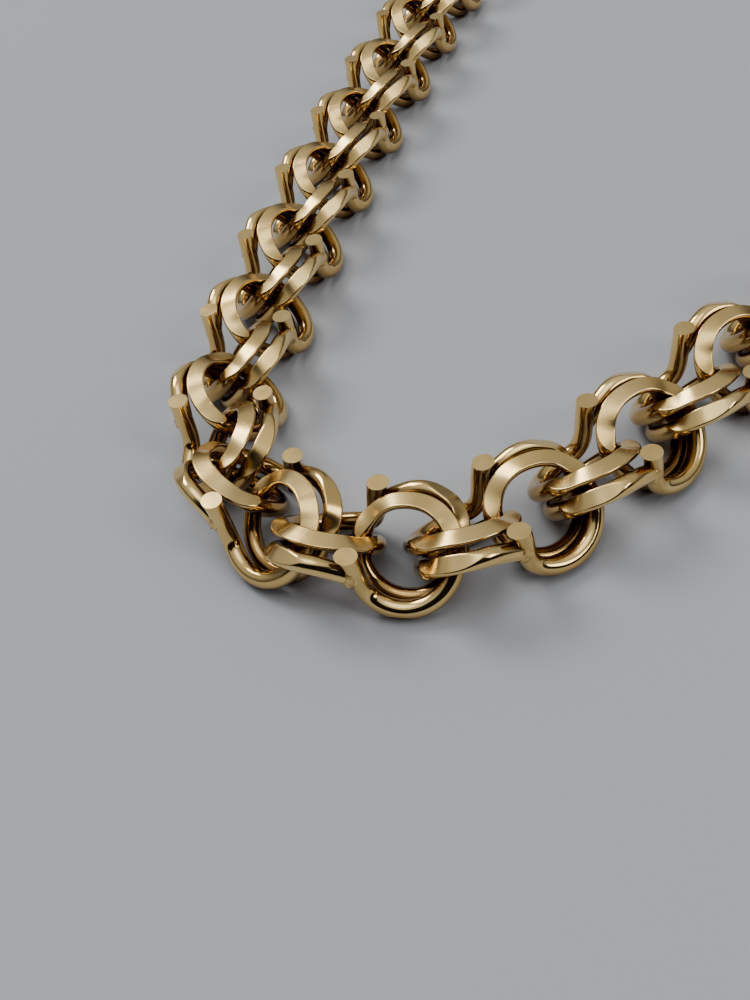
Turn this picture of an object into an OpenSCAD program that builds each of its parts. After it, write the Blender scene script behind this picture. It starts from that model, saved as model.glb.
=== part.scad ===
/* [Loop] */
// Length of the outline that the chain lies in, from the loop's front to its back
loop_length = 200; // [190:5:220]
// Width of the outline that the chain lies in
loop_width = 80; // [75:5:100]

/* [Wire and coils] */
// Thickness of the round gold wire
wire_d = 1.0; // [0.8:0.05:1.1]
// Radius of a coil, to the middle of its wire
coil_r = 2.5; // [2.35:0.05:3]
// Angle at which each coil leans from lying flat
lean = 47; // [44:1:50]
// How far one turn of a coil moves along the coil's axis
coil_rise = 1.2; // [1.1:0.05:1.4]
// How far each turn slips up the lean past the turn before it
coil_slip = 0.4; // [0.3:0.05:0.5]
// Distance between the two soldered coils of one link
link_span = 4.2; // [4:0.05:4.5]
// Angle by which a wire end stands back from its coil's axis
end_lean = 10; // [5:1:15]
// How much thicker a wire's cut end is than the wire
end_swell = 0.04; // [0.02:0.02:0.1]
// How much thicker the straight pieces between half turns are than the wire
splice_swell = 0.03; // [0.02:0.01:0.05]
// How far each straight piece holds the half turns at its ends
splice_hold = 0.15; // [0.1:0.05:0.2]

/* [Ground faces] */
// Depth ground off the highest and the lowest wires
flat_grind = 0.4; // [0.2:0.05:0.45]
// Depth ground off the outermost wires on the slanting faces
edge_grind = 0.2; // [0.1:0.05:0.3]
// Slope of the slanting faces' normals from level
edge_slope = 56; // [50:1:62]

/* [Joints] */
// Clear gap between the wires of two joined links
joint_gap = 0.12; // [0.1:0.02:0.2]
// How much a joint closes up for each radian that it turns
bend_slack = 1.3; // [1.2:0.1:1.6]

/* [Clasp] */
// Diameter of the clasp's barrel
barrel_d = 4.0; // [3:0.1:4.2]
// Length of the clasp's barrel
barrel_len = 13; // [9:0.5:18]
// Chamfer around each end of the barrel
barrel_chamfer = 0.6; // [0.3:0.1:1]
// Radius of each eye, to the middle of its wire
eye_r = 2.0; // [1.8:0.1:2.3]
// How deep each eye's wire is set into the barrel
eye_sink = 0.7; // [0.5:0.1:0.9]

/* [Hidden] */
gold = [0.84, 0.68, 0.38];
wire_faces = 24;
turn_faces = 48;
barrel_faces = 64;

// Chosen points that the loop is drawn towards, as shares of its width and length,
// from the clasp side round the front and back
route = [
    [-0.0625, -0.4425], [-0.025, -0.4725], [0.05625, -0.495], [0.15, -0.4875],
    [0.20625, -0.465], [0.2375, -0.4275], [0.275, -0.3575], [0.35625, -0.2175],
    [0.43125, -0.015], [0.4625, 0.1975], [0.38125, 0.3875], [0.1125, 0.505],
    [-0.2875, 0.4825], [-0.4625, 0.3125], [-0.44375, 0.0925], [-0.34375, -0.12],
    [-0.21875, -0.2825], [-0.13125, -0.3825],
];
// Place of the clasp along the route, counted in its points
clasp_place = 13.57;
samples_per_point = 24;

// Heights and widths of a link, worked out from its wires
wire_r = wire_d / 2;
half_rise = coil_rise / 2;
half_turn_r = norm([coil_r, half_rise / 2]);
half_turn_tilt = atan2(half_rise / 2, coil_r);
function leaned(up, along) = [
    up * cos(lean) - along * sin(lean),
    up * sin(lean) + along * cos(lean),
];
splice_turn = splice_hold / half_turn_r * 90 / PI;
inner_crest = leaned(half_turn_r, half_rise / 2);
outer_crest = leaned(half_turn_r + coil_slip, -1.5 * half_rise);
half_height = inner_crest[1] + wire_r - flat_grind;
edge_normal = [cos(edge_slope), sin(edge_slope)];
edge_reach = outer_crest * edge_normal + wire_r - edge_grind;
flat_half = (edge_reach - half_height * edge_normal[1]) / edge_normal[0];
side_half = outer_crest[0] + wire_d;
side_height = (edge_reach - side_half * edge_normal[0]) / edge_normal[1];
end_len = half_height + coil_r;

// Lengths along the chain: crossing wires hold two rings apart by more than one wire
crossed_wires = 1.2;
crossed_wires_at_eye = 1.3;
coil_reach = 2 * coil_r - crossed_wires * (wire_d + joint_gap);
eye_reach = coil_r + eye_r - crossed_wires_at_eye * (wire_d + joint_gap);
longest_pitch = link_span + coil_reach;
eye_place = barrel_len / 2 + eye_r + wire_r - eye_sink;
clasp_half = eye_place + eye_reach + link_span / 2;

// Smooth closed curve drawn by the route's points: its place and its direction
function route_point(i) =
    let (share = route[(i + len(route)) % len(route)])
    [share[0] * loop_width, share[1] * loop_length];
function blend(weights, i) =
    weights[0] * route_point(i - 1) + weights[1] * route_point(i)
    + weights[2] * route_point(i + 1) + weights[3] * route_point(i + 2);
function place_weights(u) = [
    pow(1 - u, 3), 3 * pow(u, 3) - 6 * pow(u, 2) + 4,
    -3 * pow(u, 3) + 3 * pow(u, 2) + 3 * u + 1, pow(u, 3),
] / 6;
function course_weights(u) = [
    -pow(1 - u, 2), 3 * pow(u, 2) - 4 * u,
    -3 * pow(u, 2) + 2 * u + 1, pow(u, 2),
] / 2;
function place_at(t) = blend(place_weights(t - floor(t)), floor(t));
function heading_at(t) =
    let (course = blend(course_weights(t - floor(t)), floor(t)))
    atan2(course[1], course[0]);

// Length used up along the curve, with the slack that its bends need
samples = len(route) * samples_per_point;
function bend_between(a, b) = abs((b - a + 540) % 360 - 180) * PI / 180;
function used_after(i) =
    let (t = i / samples_per_point, next = (i + 1) / samples_per_point)
    norm(place_at(next) - place_at(t))
    + bend_slack * bend_between(heading_at(t), heading_at(next));
used = [for (i = 0, sum = 0; i <= samples; sum = sum + used_after(i), i = i + 1) sum];
loop_used = used[samples];
route_by_used = [for (i = [0:samples]) [used[i], i / samples_per_point]];
used_by_route = [for (i = [0:samples]) [i / samples_per_point, used[i]]];
clasp_used = lookup(clasp_place, used_by_route);

// Links fill the loop from one eye of the clasp round to the other
joints = ceil((loop_used - 2 * clasp_half) / longest_pitch);
links = joints + 1;
pitch = (loop_used - 2 * clasp_half) / joints;
left_links = floor(links / 2);
function link_route(k) = lookup((clasp_used + clasp_half + k * pitch) % loop_used, route_by_used);

// Half a turn of wire round the coil's axis, short of both its joints
module half_turn() {
    rotate([0, 0, splice_turn]) rotate_extrude(angle = 180 - 2 * splice_turn, $fn = turn_faces)
        translate([half_turn_r, 0]) circle(d = wire_d, $fn = wire_faces);
}

module upper_half_turn(up, along) {
    translate([0, up, along]) rotate([0, -half_turn_tilt, 0]) half_turn();
}

module lower_half_turn(up, along) {
    translate([0, up, along]) rotate([0, half_turn_tilt, 0]) mirror([0, 1, 0]) half_turn();
}

// Straight piece that holds the ends of two half turns
module splice(side, up, along, slip) {
    translate([side * coil_r, up - splice_hold, along]) rotate([-90, 0, 0])
        cylinder(d = wire_d + splice_swell, h = slip + 2 * splice_hold, $fn = wire_faces);
}

module standing_end(up, along) {
    translate([-coil_r, up, along]) rotate([-end_lean, 0, 0])
        cylinder(d = wire_d + end_swell, h = end_len, $fn = wire_faces);
}

// One coil of two turns, high at the back: X runs along the chain, Y up the lean
module coil() {
    rotate([lean, 0, 0]) {
        standing_end(-coil_slip, coil_rise);
        lower_half_turn(-coil_slip, 1.5 * half_rise);
        splice(1, -coil_slip, half_rise, coil_slip);
        upper_half_turn(0, half_rise / 2);
        splice(-1, 0, 0, 0);
        lower_half_turn(0, -half_rise / 2);
        splice(1, 0, -half_rise, coil_slip);
        upper_half_turn(coil_slip, -1.5 * half_rise);
    }
}

module ground_section() {
    polygon([
        for (side = [[1, 1], [-1, 1], [-1, -1], [1, -1]])
            let (flat = [side[0] * flat_half, side[1] * half_height],
                edge = [side[0] * side_half, side[1] * side_height])
            each side[0] * side[1] > 0 ? [edge, flat] : [flat, edge]
    ]);
}

// A coil high at the front soldered to one high at the back, then ground
module link() {
    intersection() {
        for (turned = [0, 180]) rotate([0, 0, turned]) translate([link_span / 2, 0, 0]) coil();
        rotate([90, 0, 90])
            linear_extrude(height = 4 * coil_r + link_span, center = true) ground_section();
    }
}

module links_between(first, last) {
    for (k = [first:last])
        translate(concat(place_at(link_route(k)), half_height))
            rotate([0, 0, heading_at(link_route(k))]) link();
}

module left_strand() {
    color(gold) links_between(0, left_links - 1);
}

module right_strand() {
    color(gold) links_between(left_links, links - 1);
}

module eye(side) {
    translate([side * eye_place, 0, 0]) rotate([side * lean, 0, 0])
        rotate_extrude($fn = turn_faces) translate([eye_r, 0]) circle(d = wire_d, $fn = wire_faces);
}

module barrel() {
    rotate([0, 90, 0]) rotate_extrude($fn = barrel_faces) polygon([
        [0, -barrel_len / 2], [barrel_d / 2 - barrel_chamfer, -barrel_len / 2],
        [barrel_d / 2, barrel_chamfer - barrel_len / 2],
        [barrel_d / 2, barrel_len / 2 - barrel_chamfer],
        [barrel_d / 2 - barrel_chamfer, barrel_len / 2], [0, barrel_len / 2],
    ]);
}

// Plain barrel that stands for the hidden clasp, with an eye at each end
module clasp() {
    color(gold) translate(concat(place_at(clasp_place), half_height))
        rotate([0, 0, heading_at(clasp_place)]) {
            barrel();
            for (side = [-1, 1]) eye(side);
        }
}

left_strand();
right_strand();
clasp();
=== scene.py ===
import math

import bmesh
import bpy
import numpy as np
from mathutils import Euler, Matrix, Vector, noise


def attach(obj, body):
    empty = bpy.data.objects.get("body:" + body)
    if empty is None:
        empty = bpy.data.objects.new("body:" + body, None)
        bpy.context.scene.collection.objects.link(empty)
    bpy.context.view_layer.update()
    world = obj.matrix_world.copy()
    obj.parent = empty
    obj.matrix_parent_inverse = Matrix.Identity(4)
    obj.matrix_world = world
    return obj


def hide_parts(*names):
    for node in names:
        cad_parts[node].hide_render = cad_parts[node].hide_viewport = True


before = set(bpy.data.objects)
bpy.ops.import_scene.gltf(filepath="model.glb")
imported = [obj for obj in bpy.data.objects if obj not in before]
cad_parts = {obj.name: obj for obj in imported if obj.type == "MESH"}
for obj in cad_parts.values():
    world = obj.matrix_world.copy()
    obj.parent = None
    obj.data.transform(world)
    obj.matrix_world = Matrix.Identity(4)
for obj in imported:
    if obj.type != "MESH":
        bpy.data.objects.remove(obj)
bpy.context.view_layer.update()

# Sizes of the chain, as in the part's source, in millimetres
WIRE_D = 1.0
COIL_R = 2.5
LEAN = math.radians(47)
COIL_RISE = 1.2
COIL_SLIP = 0.4
LINK_SPAN = 4.2
FLAT_GRIND = 0.4
EDGE_GRIND = 0.2
EDGE_SLOPE = math.radians(56)
JOINT_GAP = 0.12
BEND_SLACK = 1.3
BARREL_D = 4.0
BARREL_LEN = 13.0
BARREL_CHAMFER = 0.6
EYE_R = 2.0
EYE_SINK = 0.7
CROSSED_WIRES = 1.2
CROSSED_WIRES_AT_EYE = 1.3
ROUTE = np.array([
    (-5, -88.5), (-2, -94.5), (4.5, -99), (12, -97.5), (16.5, -93), (19, -85.5),
    (22, -71.5), (28.5, -43.5), (34.5, -3), (37, 39.5), (30.5, 77.5), (9, 101),
    (-23, 96.5), (-37, 62.5), (-35.5, 18.5), (-27.5, -24), (-17.5, -56.5), (-10.5, -76.5),
])
CLASP_PLACE = 13.57
SAMPLES_PER_POINT = 24

MM = 0.001
WIRE_R = WIRE_D / 2
HALF_RISE = COIL_RISE / 2
HALF_TURN_R = math.hypot(COIL_R, HALF_RISE / 2)


def leaned(x, up, along):
    """Place in its link of a point of the coil that leans to the back."""
    return np.array([
        x + LINK_SPAN / 2,
        up * math.cos(LEAN) - along * math.sin(LEAN),
        up * math.sin(LEAN) + along * math.cos(LEAN),
    ])


INNER_CREST = leaned(0, HALF_TURN_R, HALF_RISE / 2)
OUTER_CREST = leaned(0, HALF_TURN_R + COIL_SLIP, -1.5 * HALF_RISE)
HALF_HEIGHT = INNER_CREST[2] + WIRE_R - FLAT_GRIND
EDGE_NORMAL = np.array([0, math.cos(EDGE_SLOPE), math.sin(EDGE_SLOPE)])
EDGE_REACH = OUTER_CREST @ EDGE_NORMAL + WIRE_R - EDGE_GRIND


# Where the links lie: a smooth closed curve drawn by the route's points
def blend(weights, i):
    """Sum of four neighbours among the route's points, each times its weight."""
    return sum(w * ROUTE[(i + j - 1) % len(ROUTE)] for j, w in enumerate(weights))


def place_at(t):
    """Place on the curve, where t counts the route's points."""
    u = t - math.floor(t)
    weights = ((1 - u) ** 3, 3 * u**3 - 6 * u**2 + 4, -3 * u**3 + 3 * u**2 + 3 * u + 1, u**3)
    return blend(weights, math.floor(t)) / 6


def heading_at(t):
    """Direction in which the curve runs on from there, as an angle."""
    u = t - math.floor(t)
    weights = (-((1 - u) ** 2), 3 * u**2 - 4 * u, -3 * u**2 + 2 * u + 1, u**2)
    course = blend(weights, math.floor(t))
    return math.atan2(course[1], course[0])


def bend_between(a, b):
    """How far one heading has to turn to become another."""
    return abs((b - a + 3 * math.pi) % (2 * math.pi) - math.pi)


def used_lengths():
    """Length used up from the route's start to each sample, with the slack that bends need."""
    used = [0.0]
    for i in range(len(ROUTE) * SAMPLES_PER_POINT):
        t, after = i / SAMPLES_PER_POINT, (i + 1) / SAMPLES_PER_POINT
        straight = np.linalg.norm(place_at(after) - place_at(t))
        used.append(used[-1] + straight + BEND_SLACK * bend_between(heading_at(t), heading_at(after)))
    return np.array(used)


USED = used_lengths()
PLACES = np.arange(len(USED)) / SAMPLES_PER_POINT
COIL_REACH = 2 * COIL_R - CROSSED_WIRES * (WIRE_D + JOINT_GAP)
EYE_REACH = COIL_R + EYE_R - CROSSED_WIRES_AT_EYE * (WIRE_D + JOINT_GAP)
EYE_PLACE = BARREL_LEN / 2 + EYE_R + WIRE_R - EYE_SINK
CLASP_HALF = EYE_PLACE + EYE_REACH + LINK_SPAN / 2
FREE_LENGTH = USED[-1] - 2 * CLASP_HALF
JOINTS = math.ceil(FREE_LENGTH / (LINK_SPAN + COIL_REACH))
LINKS = JOINTS + 1
LEFT_LINKS = LINKS // 2
CLASP_USED = np.interp(CLASP_PLACE, PLACES, USED)


def link_route(k):
    """Place along the route of link number k, counted from the clasp round the front."""
    return np.interp((CLASP_USED + CLASP_HALF + k * FREE_LENGTH / JOINTS) % USED[-1], USED, PLACES)


def standing(t):
    """Puts a piece made about the origin at its place on the route, in metres."""
    x, y = place_at(t)
    turn = Matrix.Rotation(heading_at(t), 4, "Z")
    return Matrix.Scale(MM, 4) @ Matrix.Translation((x, y, HALF_HEIGHT)) @ turn


# Materials
TONES = ((0.85, 0.57, 0.2, 1), (0.91, 0.66, 0.28, 1))
TONES_BETWEEN = (0.3, 0.7)
# Painted shade: dark brown mixed into the gold's colour where ambient occlusion finds nearby wire, in
# crevices and between the wires
PAINTED_SHADE_TONE = (0.17, 0.06, 0.008, 1)
PAINTED_SHADE_REACH = 0.0028
PAINTED_SHADE_FROM, PAINTED_SHADE_TO = 0.28, 0.92
PAINTED_SHADE_SAMPLES = 8
PATCHES_PER_METRE = 450
GLOSS_PATCHES_PER_METRE = 1800
SCRATCHES_PER_METRE = 2500
SCRATCH_STRETCH = 12
SCRATCH_TURN = math.radians(30)


def gold(name, roughness, roughness_swing, wave_size, wave_depth, scratch_depth):
    """Polished gold whose gloss and surface waver a little, with painted shade darkening its colour in
    crevices.
    """
    material = bpy.data.materials.new(name)
    material.use_nodes = True
    tree = material.node_tree
    shader = tree.nodes["Principled BSDF"]
    shader.inputs["Metallic"].default_value = 1
    coords = tree.nodes.new("ShaderNodeTexCoord")

    def noise_node(scale, detail):
        node = tree.nodes.new("ShaderNodeTexNoise")
        node.inputs["Scale"].default_value = scale
        node.inputs["Detail"].default_value = detail
        tree.links.new(coords.outputs["Object"], node.inputs["Vector"])
        return node

    patches = noise_node(PATCHES_PER_METRE, detail=3)
    tone = tree.nodes.new("ShaderNodeValToRGB")
    for i, end in enumerate(tone.color_ramp.elements):
        end.position = TONES_BETWEEN[i]
        end.color = TONES[i]
    tree.links.new(patches.outputs["Fac"], tone.inputs["Fac"])

    # Painted shade: ambient occlusion blends the base colour towards the dark tone in crevices and
    # between wires
    occlusion_for_shade = tree.nodes.new("ShaderNodeAmbientOcclusion")
    occlusion_for_shade.samples = PAINTED_SHADE_SAMPLES
    occlusion_for_shade.inputs["Distance"].default_value = PAINTED_SHADE_REACH
    depth = tree.nodes.new("ShaderNodeMapRange")
    depth.inputs["From Min"].default_value = PAINTED_SHADE_FROM
    depth.inputs["From Max"].default_value = PAINTED_SHADE_TO
    tree.links.new(occlusion_for_shade.outputs["AO"], depth.inputs["Value"])
    painted_shade_mix = tree.nodes.new("ShaderNodeMix")
    painted_shade_mix.data_type = "RGBA"
    painted_shade_mix.inputs["A"].default_value = PAINTED_SHADE_TONE
    tree.links.new(depth.outputs["Result"], painted_shade_mix.inputs["Factor"])
    tree.links.new(tone.outputs["Color"], painted_shade_mix.inputs["B"])
    tree.links.new(painted_shade_mix.outputs["Result"], shader.inputs["Base Color"])

    gloss = tree.nodes.new("ShaderNodeMapRange")
    gloss.inputs["To Min"].default_value = roughness
    gloss.inputs["To Max"].default_value = roughness + roughness_swing
    gloss_patches = noise_node(GLOSS_PATCHES_PER_METRE, detail=4)
    tree.links.new(gloss_patches.outputs["Fac"], gloss.inputs["Value"])
    tree.links.new(gloss.outputs["Result"], shader.inputs["Roughness"])

    waves = tree.nodes.new("ShaderNodeBump")
    waves.inputs["Distance"].default_value = wave_depth
    tree.links.new(noise_node(1 / wave_size, detail=1).outputs["Fac"], waves.inputs["Height"])
    scratches = tree.nodes.new("ShaderNodeBump")
    scratches.inputs["Distance"].default_value = scratch_depth
    stretch = tree.nodes.new("ShaderNodeMapping")
    stretch.inputs["Scale"].default_value = (1, SCRATCH_STRETCH, 1)
    stretch.inputs["Rotation"].default_value = (0, 0, SCRATCH_TURN)
    fine = noise_node(SCRATCHES_PER_METRE, detail=5)
    tree.links.new(coords.outputs["Object"], stretch.inputs["Vector"])
    tree.links.new(stretch.outputs["Vector"], fine.inputs["Vector"])
    tree.links.new(fine.outputs["Fac"], scratches.inputs["Height"])
    tree.links.new(waves.outputs["Normal"], scratches.inputs["Normal"])
    tree.links.new(scratches.outputs["Normal"], shader.inputs["Normal"])
    return material


# Roughness and its swing, then the size and depth of the waves and the depth of the scratches in metres
WIRE_GOLD = gold("gold_wire", 0.06, 0.12, 0.0016, 0.00003, 0.000001)
GROUND_GOLD = gold("gold_ground", 0.16, 0.14, 0.0022, 0.00003, 0.0000015)
SOLDER_GOLD = gold("gold_solder", 0.3, 0.2, 0.0003, 0.0001, 0.000004)


# Wire of one coil: angles run on in degrees from its standing end to its soldered end
# How far the shoulders of the upper half turns are pressed up, and how far from the crest that reaches
PRESS = 0.12
PRESS_REACH = 85
# Angles where each ground band begins, is full and ends, and its depth
NOT_GROUND = (0, 1, 2, 3, 0)
INNER_FLAT = (366, 400, 500, 534, 0.44)
OUTER_FLAT = (721, 750, 780, 813, 0.27)
OUTER_FLAT_SLOPE = math.radians(62)
# The standing end: its cut face, its course down from there and where it joins the first turn
DISC_HEIGHT = HALF_HEIGHT - 0.06
END_SWELL = 0.15
END_SWELL_REACH = 1.1
NECK_TOP = np.array([-0.38, -2.42, 2.45])
NECK_COURSE = np.array([0.72, -0.05, -1.3])
NECK_JOIN = 240
NECK_HOLD = 1.3
NECK_POINTS = 60
# The last turn slides along the chain and then runs straight down to its soldered end
CREST_SLIDE = 0.35
OUTER_TURN_END = 815
OUTER_TURN_SLIDES_BY = 780
WIRE_END = np.array([-0.14, 2.42, 0.42])
WIRE_END_COURSE = np.array([-0.9, -0.05, -0.45])
TAIL_HOLD = 0.7
TAIL_POINTS = 40


def smooth_step(u):
    u = np.clip(u, 0, 1)
    return u * u * (3 - 2 * u)


def ground_off(angles, first, full_from, full_to, last, depth):
    """Depth ground off along a turn: full between two angles, fading to none on both sides."""
    rise = smooth_step((angles - first) / (full_from - first))
    return depth * rise * smooth_step((last - angles) / (last - full_to))


def half_turn(first, last, up, along, side, flat=NOT_GROUND):
    """Wire along one half turn, with the depth ground off it; side is 1 on upper half turns."""
    angles = np.arange(first, last + 0.5)
    crest = first // 180 * 180 + 90
    a = np.radians(angles)
    off_crest = np.abs(angles - crest)
    climb = side * HALF_RISE / 2
    points = np.array([
        leaned(COIL_R * math.cos(t), up + HALF_TURN_R * math.sin(t), along + climb * math.cos(t))
        for t in a
    ])
    if side > 0:
        points[:, 2] += PRESS * np.sin(math.pi * np.clip(off_crest / PRESS_REACH, 0, 1)) ** 2
    return np.column_stack([points, ground_off(angles, *flat)])


def curve(controls, count):
    """Points of a cubic curve, without its last one, with nothing ground off."""
    u = np.linspace(0, 1, count, endpoint=False)[:, None]
    weights = ((1 - u) ** 3, 3 * u * (1 - u) ** 2, 3 * u**2 * (1 - u), u**3)
    points = sum(w * np.asarray(c) for w, c in zip(weights, controls))
    return np.column_stack([points, np.zeros(count)])


def coil_path(step):
    """Middle of the wire from end to end in even steps, with its ground depth and its radius."""
    lower = half_turn(NECK_JOIN, 360, -COIL_SLIP, 1.5 * HALF_RISE, -1)
    start = lower[0, :3]
    course = (lower[1, :3] - start) / np.linalg.norm(lower[1, :3] - start)
    neck = curve([NECK_TOP, NECK_TOP + NECK_COURSE, start - NECK_HOLD * course, start], NECK_POINTS)
    outer = half_turn(720, OUTER_TURN_END, COIL_SLIP, -1.5 * HALF_RISE, 1, OUTER_FLAT)
    slide = np.linspace(0, (OUTER_TURN_END - 720) / (OUTER_TURN_SLIDES_BY - 720), len(outer))
    outer[:, 0] += CREST_SLIDE * smooth_step(slide)
    last = outer[-1, :3]
    course = (last - outer[-2, :3]) / np.linalg.norm(last - outer[-2, :3])
    before_end = WIRE_END - WIRE_END_COURSE / 2
    tail = curve([last, last + TAIL_HOLD * course, before_end, WIRE_END], TAIL_POINTS)
    points = np.vstack([
        neck, lower,
        half_turn(360, 540, 0, HALF_RISE / 2, 1, INNER_FLAT),
        half_turn(540, 720, 0, -HALF_RISE / 2, -1),
        outer[:-1], tail,
    ])
    run = np.concatenate([[0], np.cumsum(np.linalg.norm(np.diff(points[:, :3], axis=0), axis=1))])
    even = np.linspace(0, run[-1], round(run[-1] / step) + 1)
    radii = WIRE_R * (1 + END_SWELL * (1 - smooth_step(even / END_SWELL_REACH)))
    return np.column_stack([*(np.interp(even, run, points[:, i]) for i in range(4)), radii])


def carried(across, ahead):
    """Direction across the wire, turned as little as can be to stay square to its course."""
    across = across - ahead * (across @ ahead)
    return across / np.linalg.norm(across)


def carry(across, course, start, stop):
    """Carries a direction along the wire from one step to another."""
    step = 1 if stop > start else -1
    for i in range(start, stop, step):
        across[i + step] = carried(across[i], course[i + step])


def tops(course, depth, ups):
    """Direction across the wire: as asked on ground stretches, turned evenly between them."""
    across = np.zeros_like(course)
    ground = np.flatnonzero(depth > 0)
    stretches = np.split(ground, np.flatnonzero(np.diff(ground) > 1) + 1) if len(ground) else [[0]]
    for stretch, up in zip(stretches, ups):
        for i in stretch:
            across[i] = carried(np.array(up), course[i])
    carry(across, course, stretches[0][0], 0)
    carry(across, course, stretches[-1][-1], len(course) - 1)
    for before, after in zip(stretches, stretches[1:]):
        first, last = before[-1], after[0]
        wanted = across[last].copy()
        carry(across, course, first, last)
        twist = math.atan2(np.cross(across[last], wanted) @ course[last], across[last] @ wanted)
        for i in range(first + 1, last + 1):
            turn = twist * (i - first) / (last - first)
            across[i] = math.cos(turn) * across[i] + math.sin(turn) * np.cross(course[i], across[i])
    return across


# Columns of faces across a ground band, and the narrow rim beside it
FLAT_SHARES = np.array([-1, -0.9, -0.45, 0, 0.45, 0.9, 1])
FLAT_COLUMNS = len(FLAT_SHARES) - 1
RIM = 0.04
RIM_TURN = math.radians(7)
# Half the columns' width where nothing is ground off, as a share of the wire's radius
PLAIN_SHARE = 0.25
# Depth from which a band counts as ground
LEAST_GROUND = 0.01


def section(radius, depth, sides):
    """Angles and radii of the wire's section, ground flat to a depth, with narrow rounded rims."""
    half = max(math.sqrt(radius**2 - (radius - depth) ** 2), PLAIN_SHARE * radius)
    wide = math.atan2(half, radius - depth) + RIM_TURN
    beside = FLAT_SHARES * (half - RIM)
    round_side = np.linspace(wide, 2 * math.pi - wide, sides - FLAT_COLUMNS)
    radii = np.minimum(radius, np.hypot(beside, radius - depth))
    angles = np.concatenate([np.arctan2(beside, radius - depth), round_side])
    return angles, np.concatenate([radii, np.full(len(round_side), radius)])


def tube(path, sides, ups):
    """Tube along a path of places, ground depths and radii, with flat ends."""
    bm = bmesh.new()
    course = np.gradient(path[:, :3], axis=0)
    course /= np.linalg.norm(course, axis=1)[:, None]
    rings = []
    for (x, y, z, depth, radius), ahead, across in zip(path, course, tops(course, path[:, 3], ups)):
        beside = np.cross(ahead, across)
        angles, radii = section(radius, depth, sides)
        rings.append([
            bm.verts.new(np.array([x, y, z]) + r * (math.cos(a) * across + math.sin(a) * beside))
            for a, r in zip(angles, radii)
        ])
    for row, (one, two) in enumerate(zip(rings, rings[1:])):
        ground = min(path[row, 3], path[row + 1, 3]) > LEAST_GROUND
        for i in range(len(one)):
            j = (i + 1) % len(one)
            face = bm.faces.new((one[i], one[j], two[j], two[i]))
            face.smooth = True
            face.material_index = int(ground and i < FLAT_COLUMNS)
    bm.faces.new(rings[0][::-1])
    bm.faces.new(rings[-1])
    return bm


def grind(bm, place, normal, where=lambda middle: True):
    """Cuts off what lies beyond a plane, where that is asked, and closes the cut with ground gold."""
    normal = Vector(normal).normalized()
    faces = [face for face in bm.faces if where(face.calc_center_median())]
    edges = {edge for face in faces for edge in face.edges}
    verts = {vert for face in faces for vert in face.verts}
    cut = bmesh.ops.bisect_plane(
        bm, geom=[*verts, *edges, *faces],
        plane_co=place, plane_no=normal, clear_outer=True, dist=1e-5,
    )
    rim = [item for item in cut["geom_cut"] if isinstance(item, bmesh.types.BMEdge)]
    closed = bmesh.ops.edgenet_fill(bm, edges=rim)
    for face in closed["faces"]:
        face.material_index = 1
        face.smooth = False
        if face.normal.dot(normal) < 0:
            face.normal_flip()
    for edge in rim:
        edge.smooth = False


# How far to one side, and from what height, a coil is only its standing end
STANDING_SIDE = -1.2
STANDING_FROM = 0.8


def standing_end(middle):
    """Whether the face with this middle belongs to the wire end that stands up."""
    return middle.y < STANDING_SIDE and middle.z > STANDING_FROM


def tilted(x, y, z, tilt):
    """Direction turned a little, so that no two links are ground quite alike."""
    return Euler(tilt).to_matrix() @ Vector((x, y, z))


MOST_SWING = math.radians(1.6)
SWING_PACE = 2.4


def coil(step, sides, variant):
    """One coil that leans to the back, with its ground faces, about the link's middle."""
    swing = [MOST_SWING * math.sin(SWING_PACE * variant + i) for i in range(4)]
    slope = OUTER_FLAT_SLOPE + swing[2]
    ups = ((swing[0], swing[1], 1), (swing[3], math.cos(slope), math.sin(slope)))
    bm = tube(coil_path(step), sides, ups)
    disc = (NECK_TOP[0], NECK_TOP[1], DISC_HEIGHT)
    grind(bm, disc, tilted(0, 0, 1, (swing[0], swing[1], 0)), standing_end)
    grind(bm, (0, 0, -HALF_HEIGHT), (0, 0, -1))
    under_edge = -Vector(EDGE_NORMAL)
    grind(bm, under_edge * EDGE_REACH, under_edge)
    return bm


SOLDER_SIZE = Vector((0.38, 0.3, 0.56))
SOLDER_PLACE = Vector((-0.2, -2.72, 0.62))
SOLDER_ROUGHNESS = 0.32
SOLDER_BUMPS = 2.2
# How fast the bumps fade and shrink from one size to the next, and how many sizes there are
BUMP_FADE, BUMP_SHRINK, BUMP_SIZES = 0.8, 2, 4


def solder(variant, detail):
    """Small rough lump that fills the corner between a coil's end and the other coil's neck."""
    bm = bmesh.new()
    bmesh.ops.create_icosphere(bm, subdivisions=detail, radius=1)
    for vert in bm.verts:
        place = vert.co * SOLDER_BUMPS + Vector((variant, 0, 0))
        bump = noise.fractal(place, BUMP_FADE, BUMP_SHRINK, BUMP_SIZES)
        vert.co *= 1 + SOLDER_ROUGHNESS * bump
        vert.co = vert.co * SOLDER_SIZE + SOLDER_PLACE
    for face in bm.faces:
        face.smooth = True
        face.material_index = 2
    return bm


def link_mesh(name, step, sides, variant):
    """Two coils and their solder, joined into one mesh in millimetres."""
    bm = bmesh.new()
    solder_detail = 3 if sides == FINE_SIDES else 2
    for part in (coil(step, sides, variant), solder(variant, solder_detail)):
        half = bpy.data.meshes.new("half")
        part.to_mesh(half)
        part.free()
        bm.from_mesh(half)
        half.transform(Matrix.Rotation(math.pi, 4, "Z"))
        bm.from_mesh(half)
        bpy.data.meshes.remove(half)
    mesh = bpy.data.meshes.new(name)
    bm.to_mesh(mesh)
    bm.free()
    return mesh


def piece(name, mesh, node):
    """Object that rides with the chain and stands for one of its nodes."""
    for material in (WIRE_GOLD, GROUND_GOLD, SOLDER_GOLD):
        mesh.materials.append(material)
    shown = bpy.data.objects.new(name, mesh)
    bpy.context.collection.objects.link(shown)
    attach(shown, "root")
    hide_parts(node)
    return shown


VARIANTS = 6
VARIANT_STRIDE = 5


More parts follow.
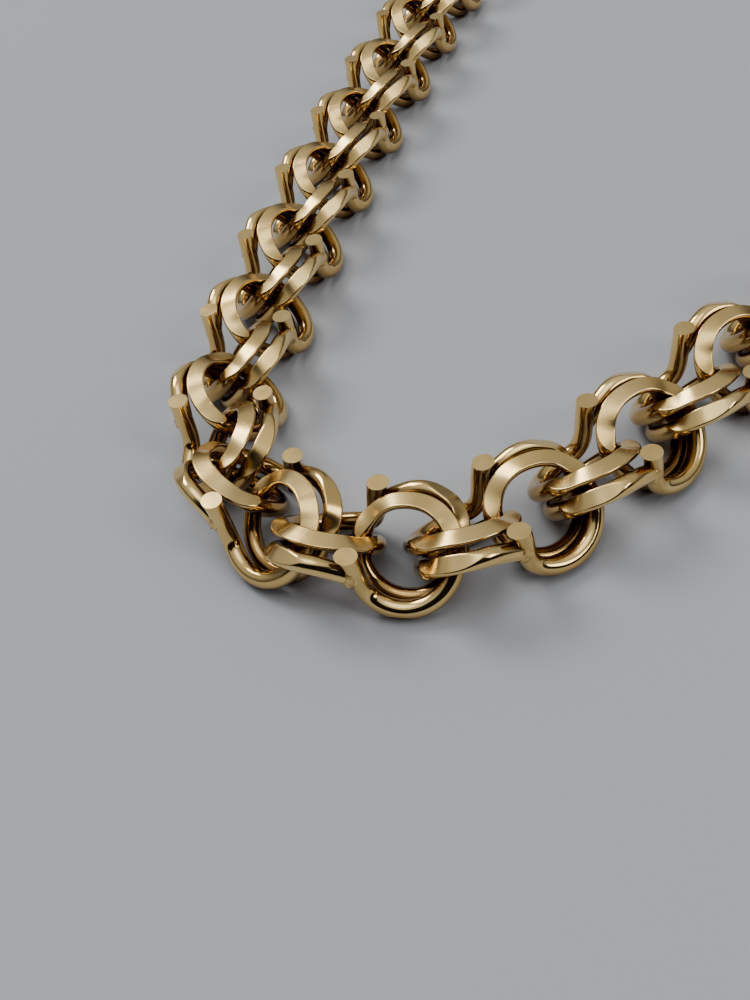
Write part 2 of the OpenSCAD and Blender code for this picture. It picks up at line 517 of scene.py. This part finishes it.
def chain_piece(name, numbers, variants, node):
    """Links of these numbers, one after another, in turn of different variants."""
    bm = bmesh.new()
    for k in numbers:
        copy = variants[k * VARIANT_STRIDE % VARIANTS].copy()
        copy.transform(standing(link_route(k)))
        bm.from_mesh(copy)
        bpy.data.meshes.remove(copy)
    mesh = bpy.data.meshes.new(name)
    bm.to_mesh(mesh)
    bm.free()
    return piece(name, mesh, node)


FINE_STEP, FINE_SIDES = 0.2, 24
PLAIN_STEP, PLAIN_SIDES = 0.4, 14
FINE = [link_mesh("fine_link", FINE_STEP, FINE_SIDES, v) for v in range(VARIANTS)]
PLAIN = [link_mesh("plain_link", PLAIN_STEP, PLAIN_SIDES, v) for v in range(VARIANTS)]
# Numbers of the first link of the front, of its right half and of the side beyond it
FRONT, FRONT_RIGHT, RIGHT = 11, 18, 24
chain_piece("left_links", range(FRONT), PLAIN, "left_strand")
chain_piece("front_left_links", range(FRONT, FRONT_RIGHT), FINE, "left_strand")
chain_piece("front_right_links", range(FRONT_RIGHT, RIGHT), FINE, "left_strand")
chain_piece("right_links", range(RIGHT, LEFT_LINKS), PLAIN, "left_strand")
chain_piece("back_links", range(LEFT_LINKS, LINKS), PLAIN, "right_strand")
for template in FINE + PLAIN:
    bpy.data.meshes.remove(template)


# Clasp
GROOVE_HALF = 0.25
GROOVE_DEPTH = 0.12
BARREL_FACES = 64
EYE_STEPS = 96
EYE_SIDES = 24


def barrel():
    """Barrel along X with rounded rims and a shallow groove round its middle."""
    radius, half = BARREL_D / 2, BARREL_LEN / 2
    rim = [
        (half - BARREL_CHAMFER * (1 - math.cos(a)), radius - BARREL_CHAMFER * (1 - math.sin(a)))
        for a in np.radians(range(0, 91, 15))
    ]
    groove = [(GROOVE_HALF, radius), (GROOVE_DEPTH, radius - GROOVE_DEPTH)]
    profile = [(half, 0), (half, radius - BARREL_CHAMFER), *rim, *groove]
    profile = profile + [(-x, r) for x, r in profile[::-1]]
    bm = bmesh.new()
    outline = [bm.verts.new((x, r, 0)) for x, r in profile]
    edges = [bm.edges.new(pair) for pair in zip(outline, outline[1:])]
    bmesh.ops.spin(
        bm, geom=outline + edges, axis=(1, 0, 0), cent=(0, 0, 0),
        angle=2 * math.pi, steps=BARREL_FACES, use_merge=True, use_duplicate=False,
    )
    bmesh.ops.remove_doubles(bm, verts=bm.verts, dist=1e-4)
    bmesh.ops.recalc_face_normals(bm, faces=bm.faces)
    for face in bm.faces:
        face.smooth = True
    return bm


def eye(side):
    """Ring at one end of the barrel, leaning to meet the first link."""
    angles = np.linspace(0, 2 * math.pi, EYE_STEPS + 1)
    nothing = 0 * angles
    ring = np.column_stack([
        EYE_R * np.cos(angles), EYE_R * np.sin(angles), nothing, nothing, nothing + WIRE_R,
    ])
    bm = tube(ring, EYE_SIDES, [(0, 0, 1)])
    bmesh.ops.delete(bm, geom=[f for f in bm.faces if len(f.verts) > 4], context="FACES_ONLY")
    bmesh.ops.remove_doubles(bm, verts=bm.verts, dist=1e-3)
    bm.transform(Matrix.Translation((side * EYE_PLACE, 0, 0)) @ Matrix.Rotation(side * LEAN, 4, "X"))
    return bm


def clasp_mesh():
    """Barrel and its two eyes, joined into one mesh at the clasp's place."""
    bm = bmesh.new()
    for part in (barrel(), eye(-1), eye(1)):
        own = bpy.data.meshes.new("own")
        part.to_mesh(own)
        part.free()
        bm.from_mesh(own)
        bpy.data.meshes.remove(own)
    mesh = bpy.data.meshes.new("clasp_barrel")
    bm.transform(standing(CLASP_PLACE))
    bm.to_mesh(mesh)
    bm.free()
    return mesh


piece("clasp_barrel", clasp_mesh(), "clasp")


# Floor
FLOOR_HALF = 3.0
FLOOR_DROP = 0.00002
FLOOR_TONE = (0.46, 0.47, 0.49, 1)
FLOOR_ROUGHNESS = 0.8


def pale_floor():
    """Plain floor, a hair lower than the chain's underside."""
    mesh = bpy.data.meshes.new("floor")
    bm = bmesh.new()
    bmesh.ops.create_grid(bm, x_segments=8, y_segments=8, size=FLOOR_HALF)
    bm.to_mesh(mesh)
    bm.free()
    shown = bpy.data.objects.new("floor", mesh)
    shown.location.z = -FLOOR_DROP
    bpy.context.collection.objects.link(shown)
    material = bpy.data.materials.new("pale_floor")
    material.use_nodes = True
    shader = material.node_tree.nodes["Principled BSDF"]
    shader.inputs["Base Color"].default_value = FLOOR_TONE
    shader.inputs["Roughness"].default_value = FLOOR_ROUGHNESS
    mesh.materials.append(material)


pale_floor()


# Camera at the photograph's viewing angle
AIM = Vector((0.00946, -0.09464, HALF_HEIGHT * MM))
CAMERA_AZIMUTH = math.radians(46.1)
CAMERA_ELEVATION = math.radians(47.6)
CAMERA_ROLL = math.radians(-12.4)
CAMERA_DISTANCE = 0.0561
VIEW_ANGLE = math.radians(50)
SENSOR = 36
CLIP_START = 0.001


def camera():
    """Camera that looks at the chain's front from the photograph's angle."""
    az, el = CAMERA_AZIMUTH, CAMERA_ELEVATION
    ahead = Vector((-math.sin(az) * math.cos(el), math.cos(az) * math.cos(el), -math.sin(el)))
    level = Vector((math.cos(az), math.sin(az), 0))
    upright = level.cross(ahead)
    right = level * math.cos(CAMERA_ROLL) + upright * math.sin(CAMERA_ROLL)
    up = upright * math.cos(CAMERA_ROLL) - level * math.sin(CAMERA_ROLL)
    data = bpy.data.cameras.new("camera")
    data.sensor_width = SENSOR
    data.lens = SENSOR / 2 / math.tan(VIEW_ANGLE / 2)
    data.clip_start = CLIP_START
    shown = bpy.data.objects.new("camera", data)
    spot = AIM - ahead * CAMERA_DISTANCE
    shown.matrix_world = Matrix.Translation(spot) @ Matrix((right, up, -ahead)).transposed().to_4x4()
    bpy.context.collection.objects.link(shown)
    bpy.context.scene.camera = shown


camera()


# Light: a pale room, bright overhead, with a dark side behind the camera and a plain backdrop
ROOM_TONE = (0.96, 0.98, 1, 1)
BACKDROP = 0.42
LOWEST_GLOW = 0.12
# Strength that the room gains as one looks up from one height to another, in degrees
GLOWS = ((0.32, 8, 32), (0.3, 40, 66), (1.6, 68, 76))
# Heights and bearing between which the dark side fades in and out, and how dark it is
DARK_FROM, DARK_TO, DARK_BESIDE = (2, 6), (59, 54), (0.25, 0.4)
DARKNESS = 0.98


def room_light():
    """World whose strength follows the glows and the dark side."""
    world = bpy.data.worlds.new("room")
    bpy.context.scene.world = world
    world.use_nodes = True
    tree = world.node_tree
    tree.nodes.clear()
    out = tree.nodes.new("ShaderNodeOutputWorld")
    light = tree.nodes.new("ShaderNodeBackground")
    tree.links.new(light.outputs["Background"], out.inputs["Surface"])
    coords = tree.nodes.new("ShaderNodeTexCoord")

    def maths(kind, *values):
        node = tree.nodes.new("ShaderNodeMath")
        node.operation = kind
        for socket, value in zip(node.inputs, values):
            if isinstance(value, (int, float)):
                socket.default_value = value
            else:
                tree.links.new(value, socket)
        return node.outputs["Value"]

    def step(value, low, high):
        node = tree.nodes.new("ShaderNodeMapRange")
        node.interpolation_type = "SMOOTHSTEP"
        tree.links.new(value, node.inputs["Value"])
        node.inputs["From Min"].default_value = low
        node.inputs["From Max"].default_value = high
        return node.outputs["Result"]

    def facing(azimuth):
        node = tree.nodes.new("ShaderNodeVectorMath")
        node.operation = "DOT_PRODUCT"
        tree.links.new(coords.outputs["Generated"], node.inputs[0])
        node.inputs[1].default_value = (math.sin(azimuth), -math.cos(azimuth), 0)
        return node.outputs["Value"]

    parts = tree.nodes.new("ShaderNodeSeparateXYZ")
    tree.links.new(coords.outputs["Generated"], parts.inputs["Vector"])
    height = maths("ARCSINE", parts.outputs["Z"])
    dark = maths("MULTIPLY", step(height, *np.radians(DARK_FROM)), step(height, *np.radians(DARK_TO)))
    dark = maths("MULTIPLY", dark, step(facing(CAMERA_AZIMUTH), *DARK_BESIDE))
    bright = LOWEST_GLOW
    for glow, low, high in GLOWS:
        gain = maths("MULTIPLY", glow, step(height, math.radians(low), math.radians(high)))
        bright = maths("ADD", bright, gain)
    strength = maths("MULTIPLY", bright, maths("SUBTRACT", 1, maths("MULTIPLY", DARKNESS, dark)))
    seen = tree.nodes.new("ShaderNodeLightPath").outputs["Is Camera Ray"]
    backdrop = maths("MULTIPLY", BACKDROP, seen)
    strength = maths("ADD", backdrop, maths("MULTIPLY", strength, maths("SUBTRACT", 1, seen)))
    light.inputs["Color"].default_value = ROOM_TONE
    tree.links.new(strength, light.inputs["Strength"])


def soft_light(name, place, aim, size, power):
    """Square area light at a place, turned to what it aims at."""
    data = bpy.data.lights.new(name, "AREA")
    data.shape = "SQUARE"
    data.size = size
    data.energy = power
    shown = bpy.data.objects.new(name, data)
    shown.location = place
    shown.rotation_mode = "QUATERNION"
    shown.rotation_quaternion = (Vector(aim) - Vector(place)).to_track_quat("-Z", "Y")
    bpy.context.collection.objects.link(shown)


room_light()
soft_light("window", place=(-0.75, 0.05, 0.8), aim=(0, 0, 0), size=0.45, power=5.5)
soft_light("lamp", place=(0.75, 0.1, 0.6), aim=(0, 0, 0), size=0.35, power=2.0)
